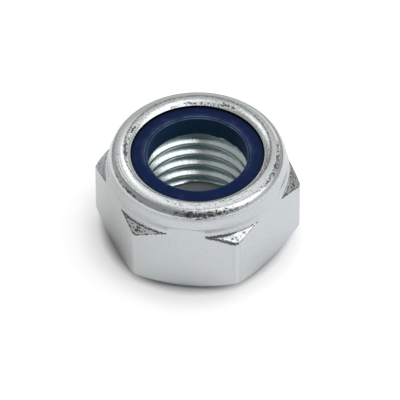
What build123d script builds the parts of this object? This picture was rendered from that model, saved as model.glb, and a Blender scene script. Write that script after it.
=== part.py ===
from build123d import *
from math import cos, radians, sin, sqrt, tan
import os

# Hexagon lock nut with a trapped plastic ring. Millimetres, +Z up.
# The origin is the middle of the bearing face, on the axis of the thread.

# Thread and bore
thread_diameter = 16.0
thread_pitch = 2.0
bearing_countersink = 0.2
seat_countersink = 0.6
countersink_angle = 30.0

# Hexagon
flat_wall = 4.0
nut_height = 13.8
edge_round = 1.0
bearing_margin = 0.6
bearing_chamfer_angle = 36.0

# Facets at the tops of the corners, and the ledge above them
ledge_drop = 3.15
ledge_overhang = 0.22
step_height = 0.55
step_draft = 0.06
facet_angle = 30.0

# Skirt that runs from the flats up to the collar
skirt_inset = 0.05
skirt_land = 0.2
flare_height = 0.65

# Collar, rolled inwards into a bead and a flat lip
collar_inset = 0.35
collar_wall = 1.85
bead_radius = 1.05
bead_end_angle = 13.0
crown_radius = 1.8
lip_land = 0.87
lip_sink = 0.3
lip_thickness = 0.65
lip_cover = 0.92
lip_edge_break = 0.12

# Plastic ring
insert_thickness = 2.9
insert_swell = 0.35
insert_chamfer = 0.45
insert_grip = 0.26
insert_gap = 0.08
insert_edge_break = 0.15

# Radii worked out from the sizes above
minor_radius = thread_diameter / 2 - 1.25 * thread_pitch * sqrt(3) / 4
flat_radius = thread_diameter / 2 + flat_wall
corner_radius = flat_radius / cos(radians(30))
bearing_radius = flat_radius - bearing_margin
bearing_hole_radius = (thread_diameter + bearing_countersink) / 2
seat_hole_radius = (thread_diameter + seat_countersink) / 2
collar_radius = flat_radius - collar_inset
bead_middle_radius = collar_radius - bead_radius
insert_radius = collar_radius - collar_wall
lip_radius = insert_radius - lip_cover
crown_inner_radius = lip_radius + lip_land
insert_hole_radius = minor_radius - insert_grip
insert_neck_radius = lip_radius - insert_gap
ledge_radius = flat_radius + ledge_overhang
skirt_radius = flat_radius - skirt_inset
facet_radius = ledge_radius + step_draft
blank_radius = corner_radius + edge_round

# Heights worked out from the sizes above
bearing_depth = (bearing_hole_radius - minor_radius) * tan(radians(countersink_angle))
seat_depth = (seat_hole_radius - minor_radius) * tan(radians(countersink_angle))
chamfer_height = (blank_radius - bearing_radius) * tan(radians(bearing_chamfer_angle))
lip_top = nut_height - lip_sink
lip_underside = lip_top - lip_thickness
insert_top = lip_underside + insert_swell
seat_height = insert_top - insert_thickness
ledge_height = nut_height - ledge_drop
facet_height = ledge_height - step_height
facet_foot = facet_height - (blank_radius - facet_radius) * tan(radians(facet_angle))
flare_top = ledge_height + flare_height
skirt_foot = flare_top + skirt_land
bead_middle = nut_height - bead_radius
crown_middle = nut_height - crown_radius

# Points where the rolled collar changes its curve
skirt_top = (
    bead_middle_radius + bead_radius * cos(radians(bead_end_angle)),
    bead_middle + bead_radius * sin(radians(bead_end_angle)),
)
bead_side = (
    bead_middle_radius + bead_radius * cos(radians(bead_end_angle / 2 + 45)),
    bead_middle + bead_radius * sin(radians(bead_end_angle / 2 + 45)),
)
crown_top = (bead_middle_radius, nut_height)
crown_reach = bead_middle_radius - crown_inner_radius
crown_inner = (crown_inner_radius, crown_middle + sqrt(crown_radius**2 - crown_reach**2))

# Steel body: a hexagon bar cut to a turned and rolled profile
with BuildPart() as nut_body:
    with BuildSketch() as hexagon:
        RegularPolygon(flat_radius, 6, major_radius=False)
        fillet(hexagon.vertices(), edge_round)
    extrude(amount=nut_height)

    with BuildSketch(Plane.XZ) as section:
        with BuildLine():
            # bearing face and its chamfer, the blank, the facet and the step over it,
            # then the flare at the foot of the skirt
            Polyline(
                (bearing_hole_radius, 0),
                (bearing_radius, 0),
                (blank_radius, chamfer_height),
                (blank_radius, facet_foot),
                (facet_radius, facet_height),
                (ledge_radius, ledge_height),
                (skirt_radius, flare_top),
                (skirt_radius, skirt_foot),
            )
            # skirt, leaning in to the crease under the bead
            TangentArc((skirt_radius, skirt_foot), skirt_top, tangent=(0, 1))
            # bead and crown, and the step down to the lip
            ThreePointArc(skirt_top, bead_side, crown_top)
            TangentArc(crown_top, crown_inner, tangent=(-1, 0))
            # lip, pocket of the plastic ring, its seat, and the bore
            Polyline(
                crown_inner,
                (crown_inner_radius, lip_top),
                (lip_radius + lip_edge_break, lip_top),
                (lip_radius, lip_top - lip_edge_break),
                (lip_radius, lip_underside),
                (insert_radius - insert_chamfer, lip_underside),
                (insert_radius, lip_underside - insert_chamfer),
                (insert_radius, seat_height),
                (seat_hole_radius, seat_height),
                (minor_radius, seat_height - seat_depth),
                (minor_radius, bearing_depth),
                (bearing_hole_radius, 0),
            )
        make_face()
    revolve(axis=Axis.Z, mode=Mode.INTERSECT)
nut_body.part.label = "nut_body"

# Plastic ring: it fills the pocket and swells up a little inside the lip
with BuildPart() as insert_ring:
    with BuildSketch(Plane.XZ) as ring_section:
        with BuildLine():
            Polyline(
                (insert_hole_radius, seat_height),
                (insert_radius, seat_height),
                (insert_radius, lip_underside - insert_chamfer),
                (insert_radius - insert_chamfer, lip_underside),
                (insert_neck_radius, lip_underside),
                (insert_neck_radius, insert_top),
                (insert_hole_radius, insert_top),
                close=True,
            )
        make_face()
        chamfer(ring_section.vertices().group_by(Axis.Y)[-1], insert_edge_break)
    revolve(axis=Axis.Z)
insert_ring.part.label = "insert_ring"

os.makedirs("parts", exist_ok=True)
for piece in (nut_body, insert_ring):
    export_step(piece.part, f"parts/{piece.part.label}.step")
    box = piece.part.bounding_box()
    print(piece.part.label, len(piece.part.solids()), "solid", round(piece.part.volume, 1), box.size)
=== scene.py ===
import math

import bmesh
import bpy
import numpy as np
from mathutils import Matrix, Vector


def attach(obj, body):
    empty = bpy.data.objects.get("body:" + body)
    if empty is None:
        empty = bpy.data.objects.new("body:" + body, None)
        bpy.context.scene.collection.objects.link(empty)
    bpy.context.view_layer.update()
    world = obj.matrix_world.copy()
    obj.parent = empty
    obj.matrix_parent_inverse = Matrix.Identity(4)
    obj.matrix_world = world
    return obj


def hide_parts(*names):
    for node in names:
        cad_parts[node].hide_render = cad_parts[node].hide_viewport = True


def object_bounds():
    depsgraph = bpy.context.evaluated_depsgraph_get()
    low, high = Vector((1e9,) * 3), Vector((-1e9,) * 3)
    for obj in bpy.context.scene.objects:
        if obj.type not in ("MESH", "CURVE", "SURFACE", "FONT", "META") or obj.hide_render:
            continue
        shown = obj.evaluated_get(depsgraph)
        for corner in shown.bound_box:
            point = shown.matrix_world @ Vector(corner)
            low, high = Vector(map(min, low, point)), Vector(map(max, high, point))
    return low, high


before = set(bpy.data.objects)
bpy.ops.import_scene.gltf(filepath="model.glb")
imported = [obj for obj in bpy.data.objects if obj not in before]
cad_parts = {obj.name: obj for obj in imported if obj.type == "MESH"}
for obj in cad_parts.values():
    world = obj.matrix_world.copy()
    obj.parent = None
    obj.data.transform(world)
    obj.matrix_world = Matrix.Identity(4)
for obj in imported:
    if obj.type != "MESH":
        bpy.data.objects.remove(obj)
cadLow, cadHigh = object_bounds()

mm = 0.001  # every size below is in millimetres, from the thread's axis and the bearing face

# The steel body. Its flats and its height come from the frame.
nutSizes = {
    "flatRadius": cadHigh.y / mm,
    "height": cadHigh.z / mm,
    "cornerRound": 1.0,
    "bearingMargin": 0.6,
    "bearingRim": 0.1,       # the bearing face's first row, this far from its hole
    "bearingChamferAngle": 36.0,
    "ledgeDrop": 3.15,
    "ledgeOverhang": 0.22,
    "stepHeight": 0.55,
    "stepDraft": 0.06,
    "facetAngle": 30.0,
    "facetBorder": 0.3,      # strip kept under the facets for their outline of painted shade
    "skirtInset": 0.05,
    "skirtLand": 0.2,
    "flareHeight": 0.65,
    "collarInset": 0.35,
    "collarWall": 1.85,
    "beadRadius": 1.05,
    "beadEndAngle": 13.0,
    "crownRadius": 4.3,      # one curve over crown and lip, within 0.15 of the frame's crown and flat lip
    "creaseRadius": 9.7,     # painted shade along a fold line round the crown ...
    "creaseShift": 0.6,      # ... which lies off centre, towards the azimuth below
    "creaseAzimuth": 97.5,
    "creaseWidth": 0.12,
    "lipLine": 0.27,         # dark line on the front of the lip, this far from its edge
    "lipLineWidth": 0.06,
    "lipLineLevel": 0.6,     # its strength is this less the cosine of the turn from the azimuth above
    "lipEdge": 0.12,         # width at the lip's edge that has no lines
    "lipSink": 0.3,
    "lipThickness": 0.65,
    "lipCover": 0.92,
}

threadSizes = {
    "diameter": 16.0,
    "pitch": 2.0,
    "bearingCountersink": 0.2,
    "seatCountersink": 0.6,
    "countersinkAngle": 30.0,
    "flankAngle": 33.0,
    "crestFlat": 0.36,
    "crestHeight": 0.10,     # height of a crest's middle ...
    "crestAzimuth": 97.5,    # ... where the bore is seen from the front, in degrees
    "blendWidth": 0.06,
    "crestLine": 0.045,      # width of the dark line painted along each crest's upper edge
    "ridge": 0.06,           # height of the burr along each crest's lower edge ...
    "ridgePlace": 0.8,       # ... its place, as a share of half the crest's width ...
    "ridgeWidth": 0.035,     # ... and its width
    "endHeight": 0.2,        # this near to its ends the bore is cut off sharply ...
    "endBlend": 0.02,        # ... further in, the thread blends into the countersink over this width ...
    "endGrowth": 0.1,        # ... and over this much more at three times that height
    # Rows from the middle of a crest to the middle of a root: first in half crest widths, then round the
    # crest's edge and down the flank, both in half pitches
    "crestRows": (0, 0.5, 0.8),
    "edgeRows": (-0.02, 0, 0.02, 0.05, 0.09),
    "flankRows": (0.34, 0.45, 0.58, 0.7, 0.8, 0.85, 0.88, 0.91, 0.96),
}

ringSizes = {
    "thickness": 2.9,
    "swell": 0.35,
    "chamfer": 0.45,
    "grip": 0.26,
    "gap": 0.08,
    "edgeRound": 0.17,
    "rimLine": 0.4,                # distance of the thin line of painted highlight from the hole ...
    "rimRows": (0.04, 0, -0.04),   # ... and the grid's rows across it
    "shadeRows": (0.3, 0.6, 0.9),  # rows across the painted shade under the lip
}

# How far each kind of edge of the steel body is rounded on both sides of its corner
edgeRounds = {
    "bearing": 0.2,
    "flat": 0.3,
    "facet": 0.08,
    "facetTip": 0.35,        # more at the tip of a corner, fading over the width below
    "facetTipWidth": 3.0,    # degrees
    "facetReach": 2.4,       # the strip under a facet is this many of its roundings wide, and facetBorder
    "step": 0.28,
    "ledge": 0.14,
    "skirt": 0.5,
    "lip": 0.1,
    "pocket": 0.05,
}

# How fine the steel body's curves are, and what is done alike to both meshes
meshDetail = {
    "beadRows": 14,
    "crownRows": 26,
    "skirtRows": 8,
    "merge": 0.002,
    "degenerate": 0.001,
    "sharpAngle": 34,        # degrees
}

# Each row of a section belongs to a zone, and the finishes are painted by zone
plainZone, facetZone, stepZone, ledgeZone, skirtZone, beadZone, lipZone, hiddenZone, borderZone = range(9)
ringPlain, ringRim, ringHole = range(3)
besideCurve = 2  # place of the rows that guard a rounded corner's curve, whose own places run from 0 to 1


def slope(angle):
    return math.tan(math.radians(angle))


def bell(away, width):
    # Bell curve: e to the minus square of the distance over the width
    return np.exp(-((away / width) ** 2))


def azimuthColumns(sizes, flatColumns=19, cornerColumns=6, firstStep=1.25):
    # Azimuths round the nut, in radians: close together on each rounded corner, then even across the flat
    flat, cornerRound = sizes["flatRadius"], sizes["cornerRound"]
    tangent = 30 - math.degrees(math.atan((flat - cornerRound) / flat * slope(30)))
    near = np.linspace(0, tangent, cornerColumns)
    far = np.linspace(firstStep * tangent, 30, flatColumns)
    half = np.concatenate([near, far])
    sixth = np.concatenate([half, 60 - half[-2:0:-1]])
    return np.radians((np.arange(6)[:, None] * 60 + sixth).ravel())


def fromCorner(azimuth):
    # Angle from the nearest corner of the hexagon, in radians
    return np.radians((np.degrees(azimuth) + 30) % 60 - 30)


def hexagonRadius(azimuth, sizes):
    # Distance from the axis to the side of the hexagon: flat radius over the cosine of the angle from the
    # flat's middle, and near a corner the far side of the corner's small circle
    flat, cornerRound = sizes["flatRadius"], sizes["cornerRound"]
    away = fromCorner(azimuth)
    side = flat / np.cos(math.pi / 6 - np.abs(away))
    centre = (flat - cornerRound) / math.cos(math.pi / 6)
    inside = np.maximum(cornerRound**2 - (centre * np.sin(away)) ** 2, 0)
    rounded = centre * np.cos(away) + np.sqrt(inside)
    tangent = math.pi / 6 - math.atan((flat - cornerRound) / flat * slope(30))
    return np.where(np.abs(away) < tangent, rounded, side)


def arcPoints(centre, radius, startAngle, endAngle, count):
    # Points on an arc of the section, as (distance from the axis, height)
    angle = np.radians(np.linspace(startAngle, endAngle, count))
    return [(centre[0] + radius * c, centre[1] + radius * s) for c, s in zip(np.cos(angle), np.sin(angle))]


def roundedRows(corners, steps=5, guard=1.15, mostOfSide=0.49, shortest=1e-9):
    # Rows of a section whose corners are rounded. A corner is (radius, height, rounding, zone); each corner
    # with a rounding becomes a quadratic curve that starts and ends that far from it on its two sides,
    # or nearly half way along a side that is shorter, with a guard row just beside each end. Each row also
    # gets its zone, and its place on the curve of its corner.
    places = np.array([np.broadcast_arrays(c[0], c[1], np.zeros(columnCount))[:2] for c in corners])
    rows, zones, turns = [], [], []
    for i, (_, _, rounding, zone) in enumerate(corners):
        here = places[i]
        if np.all(rounding == 0) or i == 0 or i == len(corners) - 1:
            rows.append(here)
            zones.append(zone)
            turns.append(0.5)
            continue
        before, after = places[i - 1] - here, places[i + 1] - here
        lengthBefore, lengthAfter = np.linalg.norm(before, axis=0), np.linalg.norm(after, axis=0)
        reach = np.minimum(rounding, mostOfSide / guard * np.minimum(lengthBefore, lengthAfter))
        toStart = before / np.maximum(lengthBefore, shortest) * reach
        toEnd = after / np.maximum(lengthAfter, shortest) * reach
        rows.append(here + toStart * guard)
        zones.append(corners[i - 1][3])
        turns.append(besideCurve)
        for u in np.linspace(0, 1, steps):
            rows.append((1 - u) ** 2 * (here + toStart) + 2 * u * (1 - u) * here + u**2 * (here + toEnd))
            zones.append(zone)
            turns.append(u)
        rows.append(here + toEnd * guard)
        zones.append(zone)
        turns.append(besideCurve)
    return np.array(rows), np.array(zones), np.array(turns)


# Heights and radii that follow from the sizes
flatRadius = nutSizes["flatRadius"]
nutHeight = nutSizes["height"]
threadDepth = 1.25 * threadSizes["pitch"] * math.sqrt(3) / 4  # five eighths of the full triangle's height
minorRadius = threadSizes["diameter"] / 2 - threadDepth
bearingHole = (threadSizes["diameter"] + threadSizes["bearingCountersink"]) / 2
seatHole = (threadSizes["diameter"] + threadSizes["seatCountersink"]) / 2
lipTop = nutHeight - nutSizes["lipSink"]
lipUnderside = lipTop - nutSizes["lipThickness"]
ringTop = lipUnderside + ringSizes["swell"]
seatHeight = ringTop - ringSizes["thickness"]
collarRadius = flatRadius - nutSizes["collarInset"]
ringRadius = collarRadius - nutSizes["collarWall"]
lipRadius = ringRadius - nutSizes["lipCover"]

columns = azimuthColumns(nutSizes)
columnCount = len(columns)


def nutSkin():
    # The outside of the steel body, from the edge of the bearing hole round to the edge of the ring's seat
    sizes, rounds = nutSizes, edgeRounds
    side = hexagonRadius(columns, sizes)
    ledgeRadius, ledgeHeight = flatRadius + sizes["ledgeOverhang"], nutHeight - sizes["ledgeDrop"]
    facetRadius, facetHeight = ledgeRadius + sizes["stepDraft"], ledgeHeight - sizes["stepHeight"]
    skirtRadius, flareTop = flatRadius - sizes["skirtInset"], ledgeHeight + sizes["flareHeight"]
    bearingRadius = flatRadius - sizes["bearingMargin"]
    chamferTop = (side - bearingRadius) * slope(sizes["bearingChamferAngle"])

    # Where the side of the hexagon meets the facet, the step under the ledge, or the flare over it
    onFlare = flareTop - (side - skirtRadius) / (ledgeRadius - skirtRadius) * sizes["flareHeight"]
    onStep = ledgeHeight - (side - ledgeRadius) / sizes["stepDraft"] * sizes["stepHeight"]
    onFacet = facetHeight - (side - facetRadius) * slope(sizes["facetAngle"])
    sideTop = np.where(side > facetRadius, onFacet, np.where(side > ledgeRadius, onStep, onFlare))
    facetEnd = np.minimum(side, facetRadius), np.where(side > facetRadius, facetHeight, sideTop)
    ledgeEdge = np.minimum(side, ledgeRadius), np.where(side > ledgeRadius, ledgeHeight, sideTop)

    beadCentre = (collarRadius - sizes["beadRadius"], nutHeight - sizes["beadRadius"])
    bead = arcPoints(beadCentre, sizes["beadRadius"], sizes["beadEndAngle"], 90, meshDetail["beadRows"])
    crownCentre = (beadCentre[0], nutHeight - sizes["crownRadius"])
    crownEnd = 90 + math.degrees(math.asin((crownCentre[0] - lipRadius) / sizes["crownRadius"]))
    crown = arcPoints(crownCentre, sizes["crownRadius"], 90, crownEnd, meshDetail["crownRows"])[1:]

    # The skirt is an arc that leaves the flats upright and ends at the foot of the bead
    skirtFoot = flareTop + sizes["skirtLand"]
    inward, rise = skirtRadius - bead[0][0], bead[0][1] - skirtFoot
    skirtArc = (inward**2 + rise**2) / (2 * inward)
    skirtEnd = math.degrees(math.asin(rise / skirtArc))
    skirtCentre = (skirtRadius - skirtArc, skirtFoot)
    skirt = arcPoints(skirtCentre, skirtArc, 0, skirtEnd, meshDetail["skirtRows"])[:-1]

    # The facet's lower edge is rounded more at its tip, and the strip under it carries its dark outline of
    # painted shade
    atTip = bell(np.degrees(fromCorner(columns)), rounds["facetTipWidth"])
    facetRound = rounds["facet"] + (rounds["facetTip"] - rounds["facet"]) * atTip
    borderFoot = sideTop - rounds["facetReach"] * facetRound - sizes["facetBorder"]
    corners = [
        (bearingHole, 0, 0, plainZone),
        (bearingHole + sizes["bearingRim"], 0, 0, plainZone),
        (bearingRadius, 0, rounds["bearing"], plainZone),
        (side, chamferTop, rounds["flat"], plainZone),
        (side, borderFoot, 0, borderZone),
        (side, sideTop, facetRound, facetZone),
        (*facetEnd, rounds["step"], stepZone),
        (*ledgeEdge, rounds["ledge"], ledgeZone),
        (skirtRadius, flareTop, rounds["skirt"], skirtZone),
    ]
    corners += [(radius, height, 0, skirtZone) for radius, height in skirt]
    corners += [(radius, height, 0, beadZone) for radius, height in bead + crown[:-1]]
    corners += [
        (*crown[-1], rounds["lip"], lipZone),
        (lipRadius, lipUnderside, rounds["pocket"], hiddenZone),
        (ringRadius - ringSizes["chamfer"], lipUnderside, rounds["pocket"], hiddenZone),
        (ringRadius, lipUnderside - ringSizes["chamfer"], rounds["pocket"], hiddenZone),
        (ringRadius, seatHeight, rounds["pocket"], hiddenZone),
        (seatHole, seatHeight, 0, hiddenZone),
    ]
    return roundedRows(corners)


def smoothMax(a, b, width):
    # The larger of two surfaces, with the ridge where they cross rounded over the given width: half the sum,
    # plus half the root of the squared difference and squared width, less what that adds where they meet
    return (a + b + np.sqrt((a - b) ** 2 + width**2)) / 2 - width / 2 * np.exp(-np.abs(a - b) / width)


def aboveCrest(height, azimuth):
    # Height over the middle of the nearest crest, from minus to plus half a pitch
    pitch = threadSizes["pitch"]
    turns = (azimuth - math.radians(threadSizes["crestAzimuth"])) / (2 * math.pi)
    crests = (height - threadSizes["crestHeight"] - turns * pitch) / pitch
    return ((crests + 0.5) % 1 - 0.5) * pitch


def threadRadius(height, azimuth):
    # Metric internal thread: a flat crest, a straight flank, and a root at the full depth, less the burr
    sizes = threadSizes
    above = aboveCrest(height, azimuth)
    flank = (np.abs(above) - sizes["crestFlat"] / 2) / slope(sizes["flankAngle"])
    fromRidge = above + sizes["ridgePlace"] * sizes["crestFlat"] / 2
    ridge = sizes["ridge"] * bell(fromRidge, sizes["ridgeWidth"])
    return minorRadius + smoothMax(np.minimum(flank, threadDepth), 0 * flank, sizes["blendWidth"]) - ridge


def nutBore():
    # The threaded bore. Its rows climb with the thread, so crests and roots lie along rows: the height of a
    # point is its row's own height plus the pitch times the share of a turn, cut off at both ends of the
    # bore. With the rows come their number in one turn and the line along each crest's upper edge.
    sizes = threadSizes
    pitch, crest = sizes["pitch"], sizes["crestFlat"] / sizes["pitch"]
    onCrest, onEdge = crest * np.array(sizes["crestRows"]), crest + np.array(sizes["edgeRows"])
    half = np.concatenate([onCrest, onEdge, sizes["flankRows"]]) * pitch / 2
    phases = np.concatenate([half, [pitch / 2], pitch - half[:0:-1]])
    crestStart = sizes["crestHeight"] - sizes["crestAzimuth"] / 360 * pitch
    turnsBelow = math.ceil((crestStart + pitch) / pitch)
    turnsAbove = math.ceil((seatHeight - crestStart) / pitch)
    starts = crestStart + pitch * np.arange(-turnsBelow, turnsAbove)
    rowHeights = (starts[:, None] + phases).ravel()
    azimuth = np.append(columns, 2 * math.pi)
    height = np.clip(rowHeights[:, None] + pitch * azimuth / (2 * math.pi), 0, seatHeight)

    # At both ends the thread runs into the cone of a countersink
    bottomCone = bearingHole - height / slope(sizes["countersinkAngle"])
    topCone = seatHole - (seatHeight - height) / slope(sizes["countersinkAngle"])
    cones = np.maximum(bottomCone, topCone)
    fromEnd = np.minimum(height, seatHeight - height)
    blend = sizes["endBlend"] + sizes["endGrowth"] * np.clip(fromEnd / (2 * sizes["endHeight"]) - 0.5, 0, 1)
    thread = threadRadius(height, azimuth)
    nearEnd = fromEnd < sizes["endHeight"]
    radius = np.where(nearEnd, np.maximum(thread, cones), smoothMax(thread, cones, blend))
    crestLine = bell(aboveCrest(height, azimuth) - sizes["crestFlat"] / 2, sizes["crestLine"])
    return np.stack([radius, height], axis=1), len(phases), crestLine[:, :-1]


def gridPoints(rows, azimuth):
    # Points of a surface of revolution from its rows of (radius, height), in metres
    radius, height = rows[:, 0], rows[:, 1]
    return np.stack([radius * np.cos(azimuth), radius * np.sin(azimuth), height], axis=-1) * mm


def gridQuads(rowCount, rowsPerTurn=0, offset=0):
    # Faces between neighbouring rows of a grid that closes on itself round the axis. In a helix, a row goes
    # on past the last column as the row one turn higher.
    row, column = np.meshgrid(np.arange(rowCount - 1), np.arange(columnCount), indexing="ij")
    last = column == columnCount - 1
    beside = np.where(last, 0, column + 1)
    lower = np.where(last, np.minimum(row + rowsPerTurn, rowCount - 1), row)
    upper = np.where(last, np.minimum(row + 1 + rowsPerTurn, rowCount - 1), row + 1)
    quads = np.stack([row * columnCount + column, lower * columnCount + beside,
                      upper * columnCount + beside, (row + 1) * columnCount + column], axis=-1)
    return quads.reshape(-1, 4) + offset


def addObject(name, data):
    placed = bpy.data.objects.new(name, data)
    bpy.context.scene.collection.objects.link(placed)
    return placed


def solidFromGrid(name, points, quads, masks, node):
    # One closed mesh: points that fall together are merged and faces that lost their area are dropped
    mesh = bpy.data.meshes.new(name)
    mesh.from_pydata(points, [], quads)
    for key, values in masks.items():
        mesh.attributes.new(key, "FLOAT", "POINT").data.foreach_set("value", values.astype(np.float32))
    shape = bmesh.new()
    shape.from_mesh(mesh)
    bmesh.ops.remove_doubles(shape, verts=shape.verts, dist=meshDetail["merge"] * mm)
    bmesh.ops.dissolve_degenerate(shape, edges=shape.edges, dist=meshDetail["degenerate"] * mm)
    bmesh.ops.recalc_face_normals(shape, faces=shape.faces)
    openEdges = sum(not edge.is_manifold for edge in shape.edges)
    shape.to_mesh(mesh)
    shape.free()
    mesh.shade_smooth()
    mesh.set_sharp_from_angle(angle=math.radians(meshDetail["sharpAngle"]))
    piece = addObject(name, mesh)
    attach(piece, "root")
    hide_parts(node)
    mesh.calc_loop_triangles()
    print(name, len(mesh.vertices), "points", len(mesh.loop_triangles), "triangles", openEdges, "open edges")
    return piece


# Patches on the rolled collar: azimuth, its spread, the angle across the bead, its spread, strength. First
# the dark speckle, then painted shade: darker grey where the collar's reflection is darker.
speckledPatches = [
    (-76, 22, 45, 30, 1.2),
    (-135, 13, 37, 9, 1.3),
    (-2, 20, 86, 13, 1.6),
    (-20, 13, 72, 9, 0.7),
    (73, 9, 140, 11, 0.9),
    (100, 24, 152, 7, 0.9),
    (110, 40, 106, 5, 0.9),
    (-178, 13, 140, 12, 1.3),
    (163, 12, 140, 7, 1.0),
    (-160, 16, 100, 6, 0.4),
    (-12, 28, 149, 7, 0.7),
    (-76, 36, 125, 30, 0.5),
    (50, 20, 112, 8, 0.5),
    (-172, 20, 82, 8, 0.45),
]
shadePatches = [
    (105, 62, 88, 21, 1.6),
    (-155, 42, 76, 16, 0.9),
    (-76, 20, 45, 22, 0.9),
    (-112, 28, 52, 30, 0.5),
    (12, 32, 84, 20, 1.2),
    (-18, 20, 58, 20, 0.8),
    (2, 30, 135, 24, 0.6),
    (-172, 30, 150, 10, 0.5),
    (-172, 22, 120, 14, 0.3),
    (30, 50, 150, 12, 0.4),
]


def onPatches(patches, rows, azimuth, onCollar):
    # How far a point of the collar is inside the patches: bell curves over the azimuth and over the angle
    # across the bead, from its foot to the edge of the lip
    beadRadius = nutSizes["beadRadius"]
    outwards, upwards = rows[:, 0] - (collarRadius - beadRadius), rows[:, 1] - (nutHeight - beadRadius)
    across = np.degrees(np.arctan2(upwards, outwards))
    total = np.zeros_like(across)
    for patchAzimuth, spread, patchAcross, acrossSpread, strength in patches:
        turn = (np.degrees(azimuth) - patchAzimuth + 180) % 360 - 180
        total += strength * bell(turn, spread) * bell(across - patchAcross, acrossSpread)
    return np.clip(total, 0, 1) * onCollar[:, None]


def onCrease(rows, azimuth, onCollar):
    # Painted shade along the fold line round the crown, a circle off centre: radius plus shift times the
    # cosine of the turn from its azimuth. With it the thin dark line along the front of the lip.
    sizes, radius = nutSizes, rows[:, 0]
    towards = np.cos(azimuth - math.radians(sizes["creaseAzimuth"]))
    crease = sizes["creaseRadius"] + sizes["creaseShift"] * towards
    creaseLine = bell(radius - crease, sizes["creaseWidth"])
    lipLine = bell(radius - lipRadius - sizes["lipLine"], sizes["lipLineWidth"])
    lipLine = lipLine * np.clip(sizes["lipLineLevel"] - towards, 0, 1)
    onTop = (radius < collarRadius - sizes["beadRadius"]) * (radius > lipRadius + sizes["lipEdge"])
    return np.maximum(creaseLine, lipLine) * onTop * onCollar[:, None]


# The facet of each corner: half the width of the dark line of painted shade along its upper edge, before
# and after the corner, and along its lower edge, before and after, in millimetres. Then how speckled the
# facet is, and how much painted shade lies on it, or painted highlight below zero.
facetLooks = {
    0: (0.08, 0.12, 0.13, 0.08, 0.95, 0.85),
    60: (0.09, 0.09, 0.08, 0.08, 0.5, 0.4),
    120: (0.09, 0.09, 0.08, 0.08, 0.5, 0.4),
    180: (0.05, 0.06, 0.05, 0.06, 0.45, -0.4),
    240: (0.11, 0.12, 0.15, 0.12, 1.0, -0.95),
    300: (0.23, 0.05, 0.30, 0.02, 0.7, 0.0),
}
facetFades = {
    "lines": 0.21,           # the lines end where the side is this far outside its middle's radius
    "inside": 0.12,          # speckle and painted shade are in full this much further out than a facet's end
    "corner": 5,             # degrees over which the looks before a corner turn into those after it
}


def facetMasks(rows, zones, turns, azimuth):
    # How speckled a point of a facet is, and how much painted shade it has (painted highlight below zero),
    # fading out where the facet runs into the flats, and how far the point is outside the painted shade
    # lines along the facet's lower and upper edge, in millimetres
    facetEdge = nutSizes["ledgeOverhang"] + nutSizes["stepDraft"]
    outside = hexagonRadius(azimuth, nutSizes) - flatRadius
    onFacet = np.clip((outside - facetEdge) / facetFades["inside"], 0, 1)
    onLine = np.clip((outside - facetFades["lines"]) / (facetEdge - facetFades["lines"]), 0, 1)
    looks = np.array(list(facetLooks.values()))[np.round(np.degrees(azimuth) / 60).astype(int) % 6].T
    upperBefore, upperAfter, lowerBefore, lowerAfter, speckle, paintedShade = looks
    after = np.clip(fromCorner(azimuth) / math.radians(facetFades["corner"]) + 0.5, 0, 1)
    upper = upperBefore + (upperAfter - upperBefore) * after
    lower = lowerBefore + (lowerAfter - lowerBefore) * after
    # The edges are the middle row of the facet's own curve and the second row of the step's
    lowerEdge = rows[(zones == facetZone) & (turns == 0.5)]
    upperEdge = rows[(zones == stepZone) & (turns == 0.25)]
    near = np.isin(zones, (facetZone, stepZone, borderZone))[:, None] & (onLine > 0)
    fromLower = np.where(near, np.linalg.norm(rows - lowerEdge, axis=1) - lower * onLine, 1)
    fromUpper = np.where(near, np.linalg.norm(rows - upperEdge, axis=1) - upper * onLine, 1)
    inside = (zones == facetZone)[:, None] * onFacet
    return inside * speckle, inside * paintedShade, fromLower, fromUpper


# The hexagon's upright edges, with a painted highlight on their middles and painted shade on their borders,
# and painted shade on one flat, most of all low down, standing in for a darker reflection
sideLooks = {
    "edgeFoot": 1.2,         # height at which the edges' looks start
    "edgeWidth": 0.2,        # half the width of the painted highlight on an edge's middle ...
    "edgeHighlight": 0.1,       # ... and how bright it is
    "borderPlace": 0.45,     # its borders lie this share of the corner's rounding to both sides ...
    "borderWidth": 0.1,      # ... are half this wide ...
    "borderShade": 0.2,       # ... and this much painted shade
    "flatAzimuth": 212,      # middle of the flat with painted shade, in degrees
    "flatSpread": 31,        # degrees
    "flatShade": 1.05,        # how much painted shade the flat has at its foot ...
    "flatFade": 0.03,        # ... and how much less with each millimetre up
    "crestLineDark": 0.75,        # how dark the line along the thread's crests is
}


def uprightEdges(zones, rows, azimuth):
    # The hexagon's rounded upright edges: the painted highlight on their middles and the painted shade on
    # their borders
    looks = sideLooks
    aside = np.abs(rows[:, 0] * np.sin(fromCorner(azimuth)))
    fromBorder = aside - looks["borderPlace"] * nutSizes["cornerRound"]
    onSide = np.isin(zones, (plainZone, borderZone))[:, None] * (rows[:, 1] > looks["edgeFoot"])
    return bell(aside, looks["edgeWidth"]) * onSide, bell(fromBorder, looks["borderWidth"]) * onSide


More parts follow.
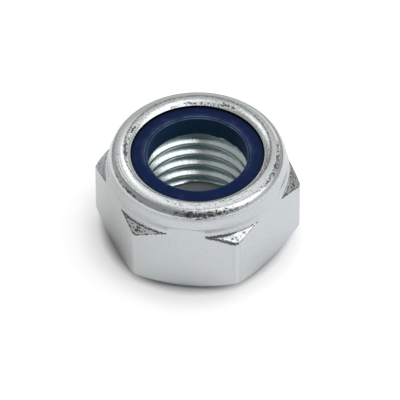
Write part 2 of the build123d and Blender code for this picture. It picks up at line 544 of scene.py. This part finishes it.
def makeNut():
    # The steel body: its skin and its bore in one closed mesh, with a mask for each finish
    skinRows, skinZones, skinTurns = nutSkin()
    boreRows, rowsPerTurn, crestLine = nutBore()
    skin = gridPoints(skinRows, columns).reshape(-1, 3)
    bore = gridPoints(boreRows[:, :, :-1], columns).reshape(-1, 3)
    points = np.concatenate([skin, bore])
    quads = np.concatenate([gridQuads(len(skinRows)), gridQuads(len(boreRows), rowsPerTurn, len(skin))])

    looks = sideLooks
    onCollar = np.isin(skinZones, (beadZone, lipZone)).astype(float)
    bright, border = uprightEdges(skinZones, skinRows, columns)
    facetSpeckled, facetShade, fromLower, fromUpper = facetMasks(skinRows, skinZones, skinTurns, columns)
    collarSpeckled = onPatches(speckledPatches, skinRows, columns, onCollar)
    collarShade = onPatches(shadePatches, skinRows, columns, onCollar)
    # Painted shade on one flat, most of all low down
    fromFlat = (np.degrees(columns) - looks["flatAzimuth"] + 180) % 360 - 180
    flatShade = bell(fromFlat, looks["flatSpread"]) * (onCollar == 0)[:, None]
    flatShade = flatShade * (looks["flatShade"] - looks["flatFade"] * skinRows[:, 1])
    # All painted shade on the steel: the collar's patches, the facets, the edges' borders and the one flat
    paintedShade = np.maximum.reduce([collarShade, facetShade, looks["borderShade"] * border, flatShade])
    depth = (boreRows[:, 0, :-1] - minorRadius) / threadDepth

    # Each mask on the skin and in the bore
    onSkin, onBore = np.ones(skinRows[:, 0].shape), np.ones(depth.shape)
    masks = {
        "rolled": (onCollar[:, None] * onSkin, 0 * onBore),
        "facet": ((skinZones == facetZone)[:, None] * onSkin, 0 * onBore),
        "speckle": (np.maximum(collarSpeckled, facetSpeckled), 0 * onBore),
        # Painted shade of the fold line, the dark line on the lip, and the dark line along the thread's
        # crests
        "line": (onCrease(skinRows, columns, onCollar), looks["crestLineDark"] * crestLine),
        "fromLower": (fromLower, onBore),
        "fromUpper": (fromUpper, onBore),
        "paintedShade": (paintedShade, 0 * onBore),
        "bright": (looks["edgeHighlight"] * bright - np.minimum(facetShade, 0), 0 * onBore),
        "thread": (0 * onSkin, onBore),
        "depth": (0 * onSkin, np.clip(depth, 0, 1)),
    }
    joined = {key: np.concatenate([a.ravel(), b.ravel()]) for key, (a, b) in masks.items()}
    return solidFromGrid("nutShell", points, quads, joined, "nut_body")


# Two thin lines of painted highlight on the ring, on its top and on the edge of its hole, and painted shade
# on its outer edge under the lip
ringLooks = {
    "topLine": 0.8,          # strength of the line on the top ...
    "topLineWidth": 0.03,    # ... and half its width
    "holeLine": 0.7,         # strength of the line on the hole's edge ...
    "holeLineWidth": 0.2,    # ... and half its width, as a share of that edge's curve
    "lineLevel": 0.7,        # both fade by this plus the cosine of the turn from the crease's azimuth
    "shadeWidth": 0.42,      # width of the painted shade at the outer edge ...
    "shadeGrowth": 0.45,     # ... how much wider it is towards the crease's azimuth ...
    "shadeFade": 0.8,        # ... the share of it that fades ...
    "shadeDepth": 0.01,      # ... and how far it reaches down past the lip's underside
}


def makeRing():
    # The plastic ring: it fills its pocket, and swells up a little inside the lip
    sizes, looks = ringSizes, ringLooks
    hole, neck = minorRadius - sizes["grip"], lipRadius - sizes["gap"]
    middle, line = (hole + neck) / 2, hole + sizes["rimLine"]
    large, small = sizes["edgeRound"], edgeRounds["pocket"]
    corners = [
        (middle, seatHeight, 0, ringPlain),
        (ringRadius, seatHeight, small, ringPlain),
        (ringRadius, lipUnderside - sizes["chamfer"], small, ringPlain),
        (ringRadius - sizes["chamfer"], lipUnderside, small, ringPlain),
        (neck, lipUnderside, small, ringPlain),
        (neck, ringTop, large, ringPlain),
    ]
    corners += [(neck - inwards, ringTop, 0, ringPlain) for inwards in sizes["shadeRows"]]
    corners += [(middle, ringTop, 0, ringPlain)]
    corners += [(line + outwards, ringTop, 0, ringPlain) for outwards in sizes["rimRows"]]
    corners += [
        (hole, ringTop, large, ringRim),
        (hole, seatHeight, small, ringHole),
        (middle, seatHeight, 0, ringHole),
    ]
    rows, zones, turns = roundedRows(corners)
    points = gridPoints(rows, columns).reshape(-1, 3)
    radius, height = rows[:, 0], rows[:, 1]
    towards = np.cos(columns - math.radians(nutSizes["creaseAzimuth"]))

    # How much a point is on the thin lines of painted highlight, and on the painted shade under the lip
    onEdge = (zones == ringRim) & (turns != besideCurve)
    holeLine = bell(turns - 0.5, looks["holeLineWidth"]) * onEdge
    rimHighlight = looks["topLine"] * bell(radius - line, looks["topLineWidth"])
    rimHighlight = rimHighlight + looks["holeLine"] * holeLine[:, None]
    rimHighlight = rimHighlight * np.clip(looks["lineLevel"] + towards, 0, 1)
    wide = looks["shadeWidth"] + looks["shadeGrowth"] * np.maximum(towards, 0)
    edge = np.clip((radius - neck + wide) / wide / looks["shadeFade"], 0, 1)
    edge = edge * (height > lipUnderside - looks["shadeDepth"])
    onHole = (zones != ringPlain)[:, None] + 0 * radius
    masks = {"hole": onHole.ravel(), "rimHighlight": rimHighlight.ravel(), "edge": edge.ravel()}
    return solidFromGrid("insertShell", points, gridQuads(len(rows)), masks, "insert_ring")


# Materials

def addNode(tree, kind, inputs=None, **settings):
    # A node with its settings. An input is a value, or the socket of another node to link from.
    node = tree.nodes.new(kind)
    for key, value in settings.items():
        setattr(node, key, value)
    for key, value in (inputs or {}).items():
        if isinstance(value, bpy.types.NodeSocket):
            tree.links.new(value, node.inputs[key])
        else:
            node.inputs[key].default_value = value
    return node


def mathOf(tree, operation, a, b=0.0):
    return addNode(tree, "ShaderNodeMath", {0: a, 1: b}, operation=operation).outputs[0]


def vectorMath(tree, operation, *vectors):
    node = addNode(tree, "ShaderNodeVectorMath", dict(enumerate(vectors)), operation=operation)
    return node.outputs["Value" if operation in ("LENGTH", "DISTANCE", "DOT_PRODUCT") else "Vector"]


def between(tree, value, low, high, lowOut=0.0, highOut=1.0):
    # Smooth step: lowOut at low, highOut at high
    inputs = {"Value": value, "From Min": low, "From Max": high, "To Min": lowOut, "To Max": highOut}
    return addNode(tree, "ShaderNodeMapRange", inputs, interpolation_type="SMOOTHSTEP").outputs["Result"]


def mixColour(tree, factor, a, b):
    return addNode(tree, "ShaderNodeMix", {0: factor, 6: a, 7: b}, data_type="RGBA").outputs[2]


def noiseOf(tree, vector, scale, detail, roughness):
    inputs = {"Vector": vector, "Scale": scale, "Detail": detail, "Roughness": roughness}
    return addNode(tree, "ShaderNodeTexNoise", inputs).outputs["Fac"]


def maskOf(tree, name):
    return addNode(tree, "ShaderNodeAttribute", attribute_name=name).outputs["Fac"]


def linkBump(tree, shader, height, distance):
    bump = addNode(tree, "ShaderNodeBump", {"Height": height, "Distance": distance * mm})
    tree.links.new(bump.outputs["Normal"], shader.inputs["Normal"])


def newMaterial(name):
    # A material, and the place of a point on its object in millimetres
    material = bpy.data.materials.new(name)
    material.use_nodes = True
    tree = material.node_tree
    place = addNode(tree, "ShaderNodeTexCoord").outputs["Object"]
    scaled = addNode(tree, "ShaderNodeMapping", {"Vector": place, "Scale": (1 / mm, 1 / mm, 1 / mm)})
    return material, tree, tree.nodes["Principled BSDF"], scaled.outputs["Vector"]


def newGroup(name, inputs, outputs):
    group = bpy.data.node_groups.new(name, "ShaderNodeTree")
    for key, kind, value in inputs:
        socket = group.interface.new_socket(key, in_out="INPUT", socket_type=kind)
        if value is not None:
            socket.default_value = value
    for key, kind in outputs:
        group.interface.new_socket(key, in_out="OUTPUT", socket_type=kind)
    return group, group.nodes.new("NodeGroupInput"), group.nodes.new("NodeGroupOutput")


def makeGrainGroup():
    # Fine grain of a surface, its slow unevenness, and the two together as a height
    group, given, result = newGroup(
        "surfaceGrain",
        [("Vector", "NodeSocketVector", None), ("Grain Scale", "NodeSocketFloat", 6.0),
         ("Patch Scale", "NodeSocketFloat", 0.4), ("Patch Height", "NodeSocketFloat", 0.5)],
        [("Grain", "NodeSocketFloat"), ("Patch", "NodeSocketFloat"), ("Height", "NodeSocketFloat")],
    )
    grain = noiseOf(group, given.outputs["Vector"], given.outputs["Grain Scale"], 4.0, 0.6)
    patch = noiseOf(group, given.outputs["Vector"], given.outputs["Patch Scale"], 2.0, 0.5)
    height = mathOf(group, "ADD", grain, mathOf(group, "MULTIPLY", patch, given.outputs["Patch Height"]))
    for key, socket in (("Grain", grain), ("Patch", patch), ("Height", height)):
        group.links.new(socket, result.inputs[key])
    print("grain group for both materials")
    return group


# Noises are (scale per millimetre, detail, roughness). Steps are (from, to), or (from, to, value up to the
# first, value from the second).
zincFinish = {
    "grain": {"Grain Scale": 3.2, "Patch Scale": 0.32, "Patch Height": 0.3},
    "colour": (0.56, 0.59, 0.60, 1),
    "greenTint": (0.53, 0.59, 0.57, 1),
    "lilacTint": (0.57, 0.58, 0.62, 1),
    "tintNoise": (0.22, 2.0, 0.5),
    "tintStep": (0.35, 0.65),
    "plainStep": (0.3, 0.7, 0.2, 0.9),       # how much of the plain colour lies over the tints
    "rolledColour": (0.58, 0.61, 0.62, 1),
    "crestColour": (0.60, 0.65, 0.65, 1),
    # lighter bluish green in the roots: painted reflection, and painted light for their shade
    "rootReflectionColour": (0.62, 0.80, 0.82, 1),
    "rootStep": (0.1, 0.7),                  # share of the thread's depth
    # dull grey: the collar's own dull mottle, and all the painted shade
    "dullAndShadeColour": (0.36, 0.37, 0.36, 1),
    # painted highlight on the upright edges and the brighter facets
    "highlightColour": (0.82, 0.85, 0.85, 1),
    # dark grey of the speckle, and of the painted shade lines
    "speckleAndShadeColour": (0.07, 0.08, 0.08, 1),
    "darkest": 0.92,                         # share of the dark colour where the metal is darkest
    "streaksAcross": (3.8, 2.6),             # streaks per millimetre of radius and of height
    "streaksAround": (18, 18, 0),            # and along the bearing of a point, which has length 1
    "streakNoise": (1.0, 3.0, 0.6),
    "gritNoise": (3.4, 3.0, 0.6),
    "mottleStep": (0.25, 0.75),
    "streakShare": 0.45,                     # shares of the mottle
    "gritShare": 0.55,
    "rolledMottle": (0.42, 0.72, 0.0, 0.4),  # dullness of the rolled collar by its mottle
    "lineWander": (0.2, 0.8, 0.09, -0.09),   # millimetres that the edge of a dark line wanders
    "patchNoise": (0.9, 2.0, 0.5),
    "patchStep": (0.40, 0.60, 0.55, 1.0),
    "besideLine": (0.05, 0.33, 0.1, 1.0),    # less speckle beside the dark lines
    "darkLimit": (0.86, 0.32),               # mottle over this is dark, without speckle and with all of it
    "darkStep": (-0.06, 0.08),
    "speckleStep": (0.02, 0.2),
    "brokenLine": (0.25, 0.6, 0.5, 1.0),     # how the grit breaks the fold line's painted shade and the dark line along the crests
    "lineStep": (0.03, -0.05, 0.0, 0.95),    # millimetres outside the edge of a painted shade line
    "flatRoughness": 0.30,
    "rolledRoughness": 0.17,
    "facetRoughness": 0.26,
    "crestRoughness": 0.2,
    "rootRoughness": 0.45,
    "rootRough": (0.3, 0.9),                 # share of the thread's depth
    "grainRough": (0.3, 0.7, -0.04, 0.06),
    "flatBump": 0.18,                        # share of the grain's bump on the flats ...
    "rolledBump": 0.75,                      # ... and how much more on the collar and the facets
    "speckleBump": 6.0,                      # depth of the speckle's pits, beside the grain's bump
    "bumpDistance": 0.012,                   # millimetres
}


def zincMottle(tree, place):
    # Streaks that run round the nut, and grit: the streaks are noise over the bearing of the point and over
    # its radius less its height
    finish = zincFinish
    flatPlace = vectorMath(tree, "MULTIPLY", place, (1, 1, 0))
    radius = vectorMath(tree, "LENGTH", flatPlace)
    bearing = vectorMath(tree, "NORMALIZE", flatPlace)
    height = addNode(tree, "ShaderNodeSeparateXYZ", {0: place}).outputs["Z"]
    perRadius, perHeight = finish["streaksAcross"]
    byHeight = mathOf(tree, "MULTIPLY", height, perHeight)
    across = mathOf(tree, "SUBTRACT", mathOf(tree, "MULTIPLY", radius, perRadius), byHeight)
    across = addNode(tree, "ShaderNodeCombineXYZ", {2: across}).outputs[0]
    streakPlace = vectorMath(tree, "MULTIPLY_ADD", bearing, finish["streaksAround"], across)
    streaks = between(tree, noiseOf(tree, streakPlace, *finish["streakNoise"]), *finish["mottleStep"])
    grit = between(tree, noiseOf(tree, place, *finish["gritNoise"]), *finish["mottleStep"])
    streaked = mathOf(tree, "MULTIPLY", streaks, finish["streakShare"])
    return grit, mathOf(tree, "ADD", streaked, mathOf(tree, "MULTIPLY", grit, finish["gritShare"]))


def makeZinc(grainGroup):
    finish = zincFinish
    material, tree, shader, place = newMaterial("zincPlating")
    names = ("rolled", "facet", "speckle", "line", "paintedShade", "bright", "thread", "depth")
    rolled, facet, speckle, line, paintedShade, bright, thread, depth = (maskOf(tree, name) for name in names)
    fine = addNode(tree, "ShaderNodeGroup", {"Vector": place, **finish["grain"]}, node_tree=grainGroup)
    grit, mottle = zincMottle(tree, place)

    # Slow green and lilac tints of the passivated zinc, and a lighter bluish green painted into the roots of
    # the thread: painted reflection of the zinc and the ring, and painted light for their shade
    tint = between(tree, noiseOf(tree, place, *finish["tintNoise"]), *finish["tintStep"])
    colour = mixColour(tree, tint, finish["greenTint"], finish["lilacTint"])
    plain = between(tree, fine.outputs["Patch"], *finish["plainStep"])
    colour = mixColour(tree, plain, colour, finish["colour"])
    deep = between(tree, depth, *finish["rootStep"])
    threadColour = mixColour(tree, deep, finish["crestColour"], finish["rootReflectionColour"])
    colour = mixColour(tree, thread, colour, threadColour)
    colour = mixColour(tree, rolled, colour, finish["rolledColour"])
    # Painted highlight on the upright edges and on the brighter facets
    colour = mixColour(tree, bright, colour, finish["highlightColour"])

    # Painted shade, and dull mottle all over the rolled collar
    mottled = mathOf(tree, "MULTIPLY", rolled, between(tree, mottle, *finish["rolledMottle"]))
    colour = mixColour(tree, mathOf(tree, "MAXIMUM", paintedShade, mottled), colour, finish["dullAndShadeColour"])

    # Where the metal goes dark: how much of the mottle is let through as speckle, and the dark lines, with
    # edges
    # that wander: painted shade along the facets' edges and the fold line, and the dark lines on the lip and
    # crests
    lineGap = mathOf(tree, "MINIMUM", maskOf(tree, "fromLower"), maskOf(tree, "fromUpper"))
    lineGap = mathOf(tree, "ADD", lineGap, between(tree, grit, *finish["lineWander"]))
    patchy = between(tree, noiseOf(tree, place, *finish["patchNoise"]), *finish["patchStep"])
    patchy = mathOf(tree, "MULTIPLY", patchy, between(tree, lineGap, *finish["besideLine"]))
    allowed = mathOf(tree, "MULTIPLY", speckle, patchy)
    without, withAll = finish["darkLimit"]
    limit = addNode(tree, "ShaderNodeMapRange", {"Value": allowed, "To Min": without, "To Max": withAll})
    overLimit = mathOf(tree, "SUBTRACT", mottle, limit.outputs["Result"])
    speckled = between(tree, overLimit, *finish["darkStep"])
    speckled = mathOf(tree, "MULTIPLY", speckled, between(tree, allowed, *finish["speckleStep"]))
    brokenLine = mathOf(tree, "MULTIPLY", line, between(tree, grit, *finish["brokenLine"]))
    dark = mathOf(tree, "MAXIMUM", speckled, brokenLine)
    dark = mathOf(tree, "MAXIMUM", dark, between(tree, lineGap, *finish["lineStep"]))
    dark = mathOf(tree, "MULTIPLY", dark, finish["darkest"])
    tree.links.new(mixColour(tree, dark, colour, finish["speckleAndShadeColour"]), shader.inputs["Base Color"])

    roughness = finish["flatRoughness"]
    for mask, key in ((rolled, "rolledRoughness"), (facet, "facetRoughness"), (thread, "crestRoughness")):
        change = mathOf(tree, "MULTIPLY", mask, finish[key] - finish["flatRoughness"])
        roughness = mathOf(tree, "ADD", roughness, change)
    rootChange = finish["rootRoughness"] - finish["crestRoughness"]
    roughness = mathOf(tree, "ADD", roughness, between(tree, depth, *finish["rootRough"], 0.0, rootChange))
    grainChange = between(tree, fine.outputs["Grain"], *finish["grainRough"])
    tree.links.new(mathOf(tree, "ADD", roughness, grainChange), shader.inputs["Roughness"])

    formed = mathOf(tree, "MULTIPLY", mathOf(tree, "MAXIMUM", rolled, facet), finish["rolledBump"])
    bumpLevel = mathOf(tree, "ADD", finish["flatBump"], formed)
    bumpHeight = mathOf(tree, "MULTIPLY", fine.outputs["Height"], bumpLevel)
    pits = mathOf(tree, "MULTIPLY", mathOf(tree, "MULTIPLY", mottle, allowed), finish["speckleBump"])
    linkBump(tree, shader, mathOf(tree, "SUBTRACT", bumpHeight, pits), finish["bumpDistance"])
    shader.inputs["Metallic"].default_value = 1.0
    print("zinc plating with", len(tree.nodes), "nodes")
    return material


nylonFinish = {
    "grain": {"Grain Scale": 5.0, "Patch Scale": 0.6, "Patch Height": 0.6},
    "colour": (0.0010, 0.0118, 0.063, 1),
    # lighter purple patches: the nylon's own mottle, and a painted sheen
    "purpleAndSheen": (0.012, 0.019, 0.088, 1),
    "purpleStep": (0.5, 0.68),
    # lighter colour of the hole's wall: painted light that makes up for its shade
    "holeLitColour": (0.015, 0.048, 0.105, 1),
    # painted highlight of the thin lines on the ring
    "rimHighlightColour": (0.24, 0.31, 0.44, 1),
    "rimNoise": (0.5, 2.0, 0.6),
    "brokenRim": (0.35, 0.60, 0.35, 1.0),
    # painted shade on the ring's outer edge under the lip
    "lipShadeColour": (0.0010, 0.006, 0.024, 1),
    "lipShadeShare": 0.85,
    "roughness": (0.30, 0.44),               # from the smoother to the rougher patches
    "roughStep": (0.3, 0.7),
    "specular": 0.055,
    "bumpDistance": 0.006,                   # millimetres
}


def makeNylon(grainGroup):
    finish = nylonFinish
    material, tree, shader, place = newMaterial("navyNylon")
    fine = addNode(tree, "ShaderNodeGroup", {"Vector": place, **finish["grain"]}, node_tree=grainGroup)
    # Lighter purple patches: the nylon's own mottle, and a painted sheen
    purpleAndSheen = between(tree, fine.outputs["Patch"], *finish["purpleStep"])
    colour = mixColour(tree, purpleAndSheen, finish["colour"], finish["purpleAndSheen"])
    # Lighter colour on the hole's wall: painted light that makes up for its shade
    colour = mixColour(tree, maskOf(tree, "hole"), colour, finish["holeLitColour"])
    broken = between(tree, noiseOf(tree, place, *finish["rimNoise"]), *finish["brokenRim"])
    # Painted highlight on the ring's thin lines, broken by noise
    rimHighlight = mathOf(tree, "MULTIPLY", maskOf(tree, "rimHighlight"), broken)
    colour = mixColour(tree, rimHighlight, colour, finish["rimHighlightColour"])
    # Painted shade on the ring's outer edge, under the lip
    edge = mathOf(tree, "MULTIPLY", maskOf(tree, "edge"), finish["lipShadeShare"])
    colour = mixColour(tree, edge, colour, finish["lipShadeColour"])
    tree.links.new(colour, shader.inputs["Base Color"])
    roughness = between(tree, fine.outputs["Patch"], *finish["roughStep"], *finish["roughness"])
    tree.links.new(roughness, shader.inputs["Roughness"])
    linkBump(tree, shader, fine.outputs["Height"], finish["bumpDistance"])
    shader.inputs["Specular IOR Level"].default_value = finish["specular"]
    print("navy nylon with", len(tree.nodes), "nodes")
    return material


# Stage

cameraView = {
    "azimuth": -82.522,
    "elevation": 46.148,
    "roll": -0.1154,
    "distance": 799.73,
    "focal": 6006 / 400,       # focal length over the frame's width
    "aimHeight": 6.0,
    "aimRight": 0.3255,
    "aimUp": -1.049,
    "sensor": 36.0,
}


def makeCamera():
    view = cameraView
    azimuth, elevation, roll = (math.radians(view[key]) for key in ("azimuth", "elevation", "roll"))
    level = math.cos(elevation)
    back = Vector((math.cos(azimuth) * level, math.sin(azimuth) * level, math.sin(elevation)))
    right = Vector((-math.sin(azimuth), math.cos(azimuth), 0))
    up = back.cross(right)
    aim = Vector((0, 0, view["aimHeight"])) + view["aimRight"] * right + view["aimUp"] * up
    place = (aim + view["distance"] * back) * mm
    rolledRight = math.cos(roll) * right + math.sin(roll) * up
    rolledUp = -math.sin(roll) * right + math.cos(roll) * up
    data = bpy.data.cameras.new("camera")
    data.sensor_width = view["sensor"]
    data.lens = view["focal"] * view["sensor"]
    camera = addObject("camera", data)
    turn = Matrix((rolledRight, rolledUp, back)).transposed().to_4x4()
    camera.matrix_world = Matrix.Translation(place) @ turn
    bpy.context.scene.camera = camera
    print("camera at azimuth", view["azimuth"], "elevation", view["elevation"])
    return right, back


# The floor's glow is left out near the nut: a painted shadow round it, deepest to the left and front
floorFinish = {
    "reach": 3.0,                # metres to each side
    "colour": (0.58, 0.58, 0.58, 1),
    "lowGlow": 0.010,            # added everywhere that the camera or a reflection sees the floor
    "glow": (0.44, 0.16),        # and in two steps more ...
    "glowFrom": (11.4, 12.5),    # ... from this far from the thread's axis ...
    "glowTo": (13.4, 16.5),      # ... and in full from here
    "paintedShadowShift": (-0.35, -0.2),  # centre of both steps, to the right and to the back of the axis; it moves the painted shadow
}


def makeFloor(right, front):
    finish = floorFinish
    reach = finish["reach"]
    corners = [(-reach, -reach, 0), (reach, -reach, 0), (reach, reach, 0), (-reach, reach, 0)]
    mesh = bpy.data.meshes.new("floor")
    mesh.from_pydata(corners, [], [(0, 1, 2, 3)])
    floor = addObject("floor", mesh)
    material, tree, shader, place = newMaterial("paper")
    tree.nodes.remove(shader)
    shiftRight, shiftBack = finish["paintedShadowShift"]
    away = vectorMath(tree, "DISTANCE", place, shiftRight * right - shiftBack * front)
    path = addNode(tree, "ShaderNodeLightPath")
    seen = mathOf(tree, "MAXIMUM", path.outputs["Is Camera Ray"], path.outputs["Is Glossy Ray"])
    seen = mathOf(tree, "MAXIMUM", seen, path.outputs["Is Transmission Ray"])
    # Less glow near the nut: a painted shadow round it
    level = finish["lowGlow"]
    for low, high, added in zip(finish["glowFrom"], finish["glowTo"], finish["glow"]):
        level = mathOf(tree, "ADD", level, between(tree, away, low, high, 0.0, added))
    level = mathOf(tree, "MULTIPLY", seen, level)
    paper = addNode(tree, "ShaderNodeBsdfDiffuse", {"Color": finish["colour"]})
    glow = addNode(tree, "ShaderNodeEmission", {"Strength": level})
    both = addNode(tree, "ShaderNodeAddShader", {0: paper.outputs[0], 1: glow.outputs[0]})
    tree.links.new(both.outputs[0], tree.nodes["Material Output"].inputs["Surface"])
    mesh.materials.append(material)
    print("floor of", 2 * finish["reach"], "metres")


# Softboxes: where each stands, in degrees to the right of the camera and degrees up, its distance, width
# and height, and its brightness, where 1 is white
softboxes = {
    "key": {"turn": 90, "rise": 63, "distance": 400, "width": 350, "height": 320, "bright": 1.35},
    "backLeft": {"turn": -150, "rise": 54, "distance": 400, "width": 60, "height": 130, "bright": 1.5},
    "backTop": {"turn": 177, "rise": 75, "distance": 400, "width": 90, "height": 110, "bright": 1.0},
    "backRight": {"turn": 163, "rise": 42, "distance": 400, "width": 100, "height": 90, "bright": 1.3},
}


def directionOf(turn, rise, right, front):
    turn, rise = math.radians(turn), math.radians(rise)
    level = math.cos(turn) * front + math.sin(turn) * right
    return math.cos(rise) * level + math.sin(rise) * Vector((0, 0, 1))


def makeLamps(right, front):
    for name, lamp in softboxes.items():
        direction = directionOf(lamp["turn"], lamp["rise"], right, front)
        data = bpy.data.lights.new(name, "AREA")
        data.shape = "RECTANGLE"
        data.size = lamp["width"] * mm
        data.size_y = lamp["height"] * mm
        data.energy = lamp["bright"] * math.pi * data.size * data.size_y
        light = addObject(name, data)
        light.location = direction * lamp["distance"] * mm
        light.rotation_euler = direction.to_track_quat("Z", "Y").to_euler()
        light.visible_camera = False
    print(len(softboxes), "softboxes")


# The room round the softboxes. Its walls are evenly lit and darker near the floor, a bell curve brightens
# them round each of the places below, and a dark gap runs from the camera's side up to near overhead. Turn,
# rise and spread are in degrees.
room = {
    "walls": 0.48,
    "lowWalls": 0.22,
    "lowFrom": 7,              # degrees over the floor where the walls start to brighten ...
    "lowTo": 16,               # ... and where they are at their full level
    "places": {
        "right": {"turn": 85, "rise": 12, "spread": 45, "bright": 0.45},
        "back": {"turn": 180, "rise": 30, "spread": 25, "bright": 0.8},
        "left": {"turn": -120, "rise": 10, "spread": 20, "bright": 0.12},
        "over": {"turn": -20, "rise": 74, "spread": 13, "bright": 0.3},
    },
    "gap": 0.14,               # share of the light that is left in the gap
    "gapWidth": 0.27,          # sine of the angle from its middle to its edge
    "gapEdge": 0.7,            # share of that over which the edge fades to both sides
    "gapEnd": 0.6,             # cosine of the rise from which the gap closes
}


def makeWorld(right, front):
    world = bpy.data.worlds.new("studio")
    bpy.context.scene.world = world
    world.use_nodes = True
    tree = world.node_tree
    ray = addNode(tree, "ShaderNodeTexCoord").outputs["Generated"]
    lowFrom, lowTo = (math.sin(math.radians(room[key])) for key in ("lowFrom", "lowTo"))
    upwards = vectorMath(tree, "DOT_PRODUCT", ray, Vector((0, 0, 1)))
    level = between(tree, upwards, lowFrom, lowTo, room["lowWalls"], room["walls"])
    for place in room["places"].values():
        # bell curve: brightness times e to the minus (1 - cosine) / (1 - cosine of the spread)
        direction = directionOf(place["turn"], place["rise"], right, front)
        far = mathOf(tree, "SUBTRACT", vectorMath(tree, "DOT_PRODUCT", ray, direction), 1.0)
        far = mathOf(tree, "DIVIDE", far, 1 - math.cos(math.radians(place["spread"])))
        glow = mathOf(tree, "POWER", math.e, far)
        level = mathOf(tree, "ADD", level, mathOf(tree, "MULTIPLY", glow, place["bright"]))
    beyond = mathOf(tree, "SUBTRACT", vectorMath(tree, "DOT_PRODUCT", ray, front), room["gapEnd"])
    beyond = mathOf(tree, "MINIMUM", beyond, 0.0)
    aside = vectorMath(tree, "DOT_PRODUCT", ray, right)
    away = addNode(tree, "ShaderNodeCombineXYZ", {0: aside, 1: beyond}).outputs[0]
    away = vectorMath(tree, "LENGTH", away)
    inner, outer = ((1 + sign * room["gapEdge"]) * room["gapWidth"] for sign in (-1, 1))
    level = mathOf(tree, "MULTIPLY", level, between(tree, away, inner, outer, room["gap"], 1.0))
    tree.links.new(level, tree.nodes["Background"].inputs["Strength"])
    tree.nodes["Background"].inputs["Color"].default_value = (1, 1, 1, 1)
    print("room with", len(room["places"]), "bright places")


nut = makeNut()
ring = makeRing()
grainGroup = makeGrainGroup()
nut.data.materials.append(makeZinc(grainGroup))
ring.data.materials.append(makeNylon(grainGroup))

cameraRight, cameraBack = makeCamera()
cameraFront = Vector((cameraBack.x, cameraBack.y, 0)).normalized()  # level, from the nut towards the camera
makeFloor(cameraRight, cameraFront)
makeLamps(cameraRight, cameraFront)
makeWorld(cameraRight, cameraFront)
bpy.context.scene.view_settings.view_transform = "Standard"
